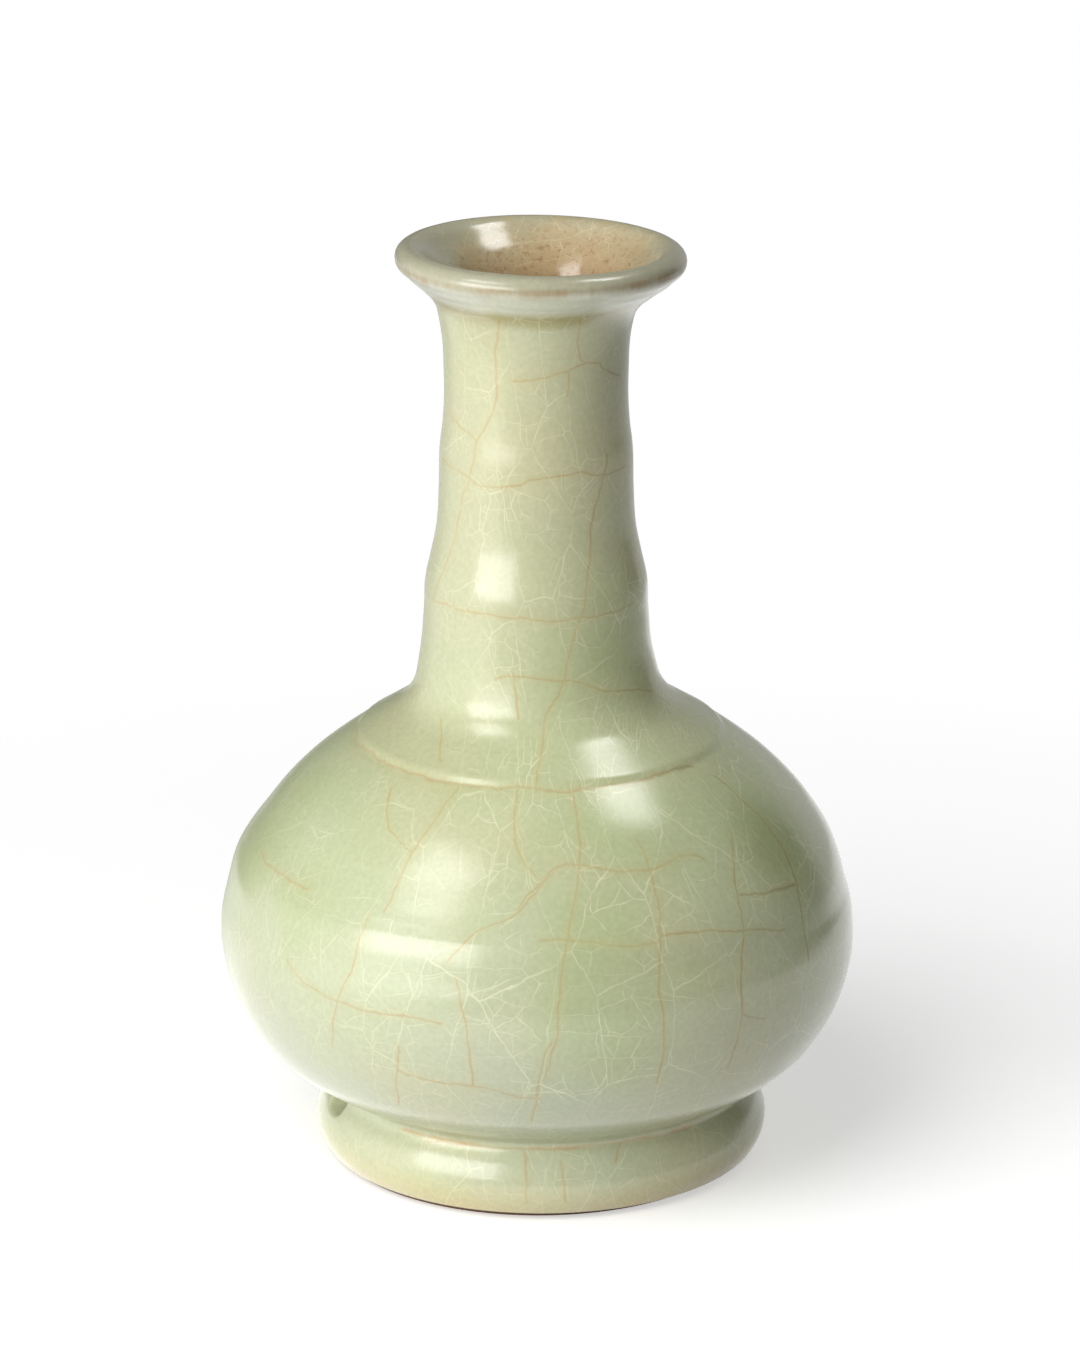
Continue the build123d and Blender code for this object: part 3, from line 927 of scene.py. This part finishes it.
# Matt white paint, which scatters all light evenly
floor_paint = bpy.data.materials.new("matt_white_floor")
floor_paint.use_nodes = True
tree = floor_paint.node_tree
tree.nodes.clear()
path = add_node(tree, "ShaderNodeLightPath", {})
floor_place = add_node(tree, "ShaderNodeTexCoord", {}).outputs["Object"]
mirror_lift = light_around(tree, floor_place, table_lift)
seen_lift = add_node(
    tree, "ShaderNodeMath", {0: path.outputs["Is Camera Ray"], 1: camera_lift}, operation="MULTIPLY"
)
lifted = add_node(
    tree,
    "ShaderNodeMath",
    {0: path.outputs["Is Glossy Ray"], 1: mirror_lift, 2: seen_lift},
    operation="MULTIPLY_ADD",
)
matt = add_node(tree, "ShaderNodeBsdfDiffuse", {"Color": linear("#f8f8f8")})
glow = add_node(tree, "ShaderNodeEmission", {"Color": (1, 1, 1, 1), "Strength": lifted})
both = add_node(tree, "ShaderNodeAddShader", {0: matt, 1: glow})
whiteness = add_node(tree, "ShaderNodeEmission", {"Color": (1, 1, 1, 1), "Strength": 1.0})
away = add_node(tree, "ShaderNodeVectorMath", {0: floor_place}, operation="LENGTH")
far = add_node(tree, "ShaderNodeMapRange", {"Value": away, 1: shadow_reach, 2: white_from, 3: 0.0, 4: 1.0})
far_seen = add_node(tree, "ShaderNodeMath", {0: far, 1: path.outputs["Is Camera Ray"]}, operation="MULTIPLY")
surface = add_node(tree, "ShaderNodeMixShader", {0: far_seen, 1: both, 2: whiteness})
add_node(tree, "ShaderNodeOutputMaterial", {"Surface": surface})
floor.data.materials.append(floor_paint)

# Degrees to the right of the front, and how bright the room is there in a reflection
room = [
    (-180, 0.12),
    (-142, 0.2),
    (-122, 1.4),
    (-60, 2.9),
    (-42, 2.4),
    (-38, 0.4),
    (20, 0.25),
    (100, 0.25),
    (104, 0.05),
    (131, 0.05),
    (134, 0.7),
    (155, 0.7),
    (180, 0.3),
]
room_light = 0.12
world = bpy.data.worlds.new("white_room")
bpy.context.scene.world = world
world.use_nodes = True
tree = world.node_tree
sight = add_node(tree, "ShaderNodeTexCoord", {}).outputs["Generated"]
panels = light_around(tree, sight, room)
height = add_node(tree, "ShaderNodeSeparateXYZ", {"Vector": sight}).outputs["Z"]
overhead = add_node(tree, "ShaderNodeMapRange", {"Value": height, 1: 0.1, 2: 0.5, 3: 1.0, 4: 0.35})
dimmed = add_node(
    tree, "ShaderNodeMix", {"Factor": overhead, "A": (0, 0, 0, 1), "B": panels}, data_type="RGBA"
)
# Far below eye level, the table goes on to all sides
table_far = add_node(tree, "ShaderNodeMapRange", {"Value": height, 1: -0.12, 2: -0.17})
with_table = add_node(
    tree,
    "ShaderNodeMix",
    {"Factor": table_far, "A": dimmed, "B": (0.7, 0.7, 0.7, 1)},
    data_type="RGBA",
    blend_type="LIGHTEN",
)
path = add_node(tree, "ShaderNodeLightPath", {})
mirrored = add_node(
    tree,
    "ShaderNodeMix",
    {"Factor": path.outputs["Is Glossy Ray"], "A": (room_light, room_light, room_light, 1), "B": with_table},
    data_type="RGBA",
)
air_colour = add_node(
    tree,
    "ShaderNodeMix",
    {"Factor": path.outputs["Is Camera Ray"], "A": mirrored, "B": (1, 1, 1, 1)},
    data_type="RGBA",
)
tree.links.new(air_colour.outputs["Result"], tree.nodes["Background"].inputs["Color"])

# Camera at the photograph's angle, and soft lamps: two at the front left, one high up on the right, a weak
# one beside the camera, and one for the floor alone.

camera_rise = math.radians(17.58)
camera_distance = 1.0363
aim = Vector((0, 0, 87.35 * MM))


def towards(turn, rise):
    """Direction from the vase, turned about its axis to the right from -Y and raised, in radians."""
    flat = math.cos(rise)
    return Vector((math.sin(turn) * flat, -math.cos(turn) * flat, math.sin(rise)))


def aimed(data, name, place):
    """An object at a place that looks at the middle of the vase."""
    thing = bpy.data.objects.new(name, data)
    thing.location = place
    thing.rotation_euler = (aim - place).to_track_quat("-Z", "Y").to_euler()
    bpy.context.scene.collection.objects.link(thing)
    return thing


# Pixels of the photograph: its height, and how far the vase stands to the left of its middle
photo_height = 1351
vase_left_of_middle = 1.5
lens = bpy.data.cameras.new("camera")
lens.lens = 156.93
lens.sensor_width = 36
lens.shift_x = vase_left_of_middle / photo_height
bpy.context.scene.camera = aimed(lens, "camera", aim + camera_distance * towards(front_turn, camera_rise))

# Name, degrees to the right of the front, degrees up, distance, width and height in metres, and watts
lamps = [
    ("front_left_lower_lamp", -44, 16.5, 0.62, 0.48, 0.29, 3.1),
    ("front_left_upper_lamp", -55, 50, 0.85, 0.34, 0.30, 2.0),
    ("top_right_lamp", 110, 66, 0.80, 0.24, 0.20, 1.55),
    ("front_fill_lamp", -15, 22, 1.25, 0.90, 0.70, 4.2),
    ("floor_lamp", -40, 48, 1.40, 1.00, 1.00, 12.8),
]
# The floor has a lamp of its own, so that it keeps one soft shadow
floor_only = bpy.data.collections.new("floor_only")
floor_only.objects.link(floor)
all_but_floor = bpy.data.collections.new("all_but_floor")
all_but_floor.objects.link(floor)
all_but_floor.collection_objects[0].light_linking.link_state = "EXCLUDE"
for name, turn, rise, distance, width, height, power in lamps:
    light = bpy.data.lights.new(name, "AREA")
    light.shape = "RECTANGLE"
    light.size = width
    light.size_y = height
    light.energy = power
    lamp = aimed(light, name, aim + distance * towards(front_turn + math.radians(turn), math.radians(rise)))
    lamp.light_linking.receiver_collection = floor_only if name == "floor_lamp" else all_but_floor
    lamp.visible_glossy = name not in ("front_fill_lamp", "floor_lamp")

bpy.context.scene.view_settings.view_transform = "Standard"
